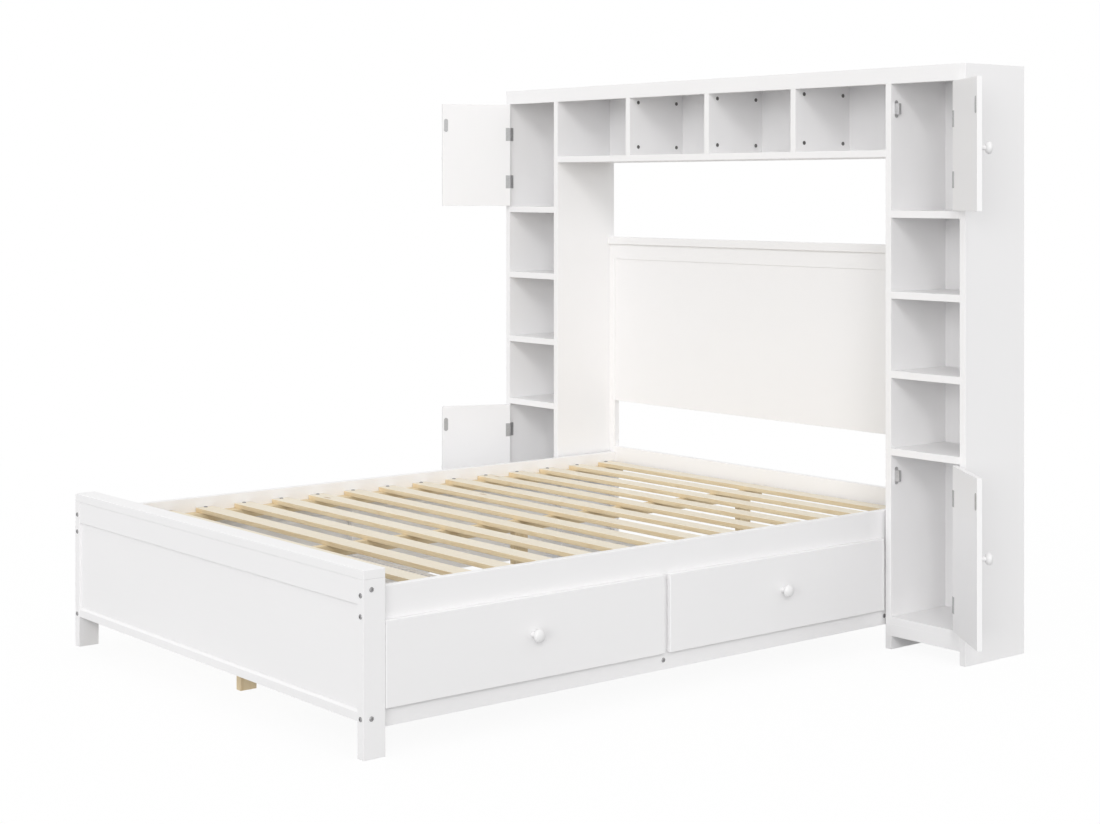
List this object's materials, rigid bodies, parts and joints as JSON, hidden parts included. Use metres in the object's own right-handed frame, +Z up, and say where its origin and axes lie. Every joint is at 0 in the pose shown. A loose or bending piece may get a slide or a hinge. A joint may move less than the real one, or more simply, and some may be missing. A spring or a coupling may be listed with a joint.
{
  "type": "storage bed",
  "caption": "Slatted bed with a panel footboard, drawers under one side, and a storage unit round the headboard: open bays, hinged doors and a bridge of cubbies",
  "frame": {"origin": "centre of the middle support leg's flat foot, on the floor", "axes": "+X across the bed to the side with the drawers, +Y from the footboard to the headboard, +Z up"},
  "size_m": [2.5141, 2.1888, 1.7765],
  "materials": {
    "white_paint": "satin white paint on wood",
    "natural_pine": "planed and left bare",
    "drawer_box_wood": "thin white lacquer",
    "dark_steel": "dull grey plating"
  },
  "bodies": {
    "bed_and_unit": {"footboard_posts": "white_paint", "footboard_cap": "white_paint", "footboard_top_rail": "white_paint", "footboard_panel": "white_paint", "footboard_bottom_rail": "white_paint", "upper_side_rails": "white_paint", "lower_side_rails": "white_paint", "side_stiles": "white_paint", "left_side_panel": "white_paint", "slat_ledgers": "natural_pine", "centre_beam": "natural_pine", "centre_leg": "natural_pine", "end_legs": "natural_pine", "slats": "natural_pine", "slat_screws": "dark_steel", "frame_bolts": "dark_steel", "cross_rails": "white_paint", "drawer_runners": "drawer_box_wood", "headboard_posts": "white_paint", "headboard_ledge": "white_paint", "headboard_top_rail": "white_paint", "headboard_panel": "white_paint", "headboard_lower_rail": "white_paint", "left_outer_side": "white_paint", "right_outer_side": "white_paint", "left_inner_side": "white_paint", "right_inner_side": "white_paint", "left_shelves": "white_paint", "right_shelves": "white_paint", "kick_boards": "white_paint", "cabinet_backs": "white_paint", "top_board": "white_paint", "top_fascia": "white_paint", "bridge_shelf": "white_paint", "bridge_dividers": "white_paint", "bridge_back": "white_paint", "divider_caps": "dark_steel", "hinge_frame_leaves": "dark_steel", "hinge_pins": "dark_steel", "magnet_catches": "dark_steel"},
    "left_upper_door": {"left_upper_door_panel": "white_paint", "left_upper_door_knob": "white_paint", "left_upper_door_plates": "dark_steel"},
    "left_lower_door": {"left_lower_door_panel": "white_paint", "left_lower_door_knob": "white_paint", "left_lower_door_plates": "dark_steel"},
    "right_upper_door": {"right_upper_door_panel": "white_paint", "right_upper_door_knob": "white_paint", "right_upper_door_plates": "dark_steel"},
    "right_lower_door": {"right_lower_door_panel": "white_paint", "right_lower_door_knob": "white_paint", "right_lower_door_plates": "dark_steel"},
    "foot_drawer": {"foot_drawer_front": "white_paint", "foot_drawer_knob": "white_paint", "foot_drawer_box": "drawer_box_wood"},
    "head_drawer": {"head_drawer_front": "white_paint", "head_drawer_knob": "white_paint", "head_drawer_box": "drawer_box_wood"}
  },
  "joints": [
    {"name": "left_upper_door_hinge", "type": "hinge", "parent": "bed_and_unit", "child": "left_upper_door", "pos_m": [-1.0815, 0.799, 1.53], "axis": [0, 0, 1], "range_deg": [-59, 113]},
    {"name": "left_lower_door_hinge", "type": "hinge", "parent": "bed_and_unit", "child": "left_lower_door", "pos_m": [-1.0815, 0.799, 0.34], "axis": [0, 0, 1], "range_deg": [-59, 113]},
    {"name": "right_upper_door_hinge", "type": "hinge", "parent": "bed_and_unit", "child": "right_upper_door", "pos_m": [1.0815, 0.799, 1.53], "axis": [0, 0, -1], "range_deg": [-27.5, 144.5]},
    {"name": "right_lower_door_hinge", "type": "hinge", "parent": "bed_and_unit", "child": "right_lower_door", "pos_m": [1.0815, 0.799, 0.34], "axis": [0, 0, -1], "range_deg": [-27.5, 144.5]},
    {"name": "foot_drawer_slide", "type": "slide", "parent": "bed_and_unit", "child": "foot_drawer", "axis": [1, 0, 0], "range_m": [0, 0.4]},
    {"name": "head_drawer_slide", "type": "slide", "parent": "bed_and_unit", "child": "head_drawer", "axis": [1, 0, 0], "range_m": [0, 0.26]}
  ]
}
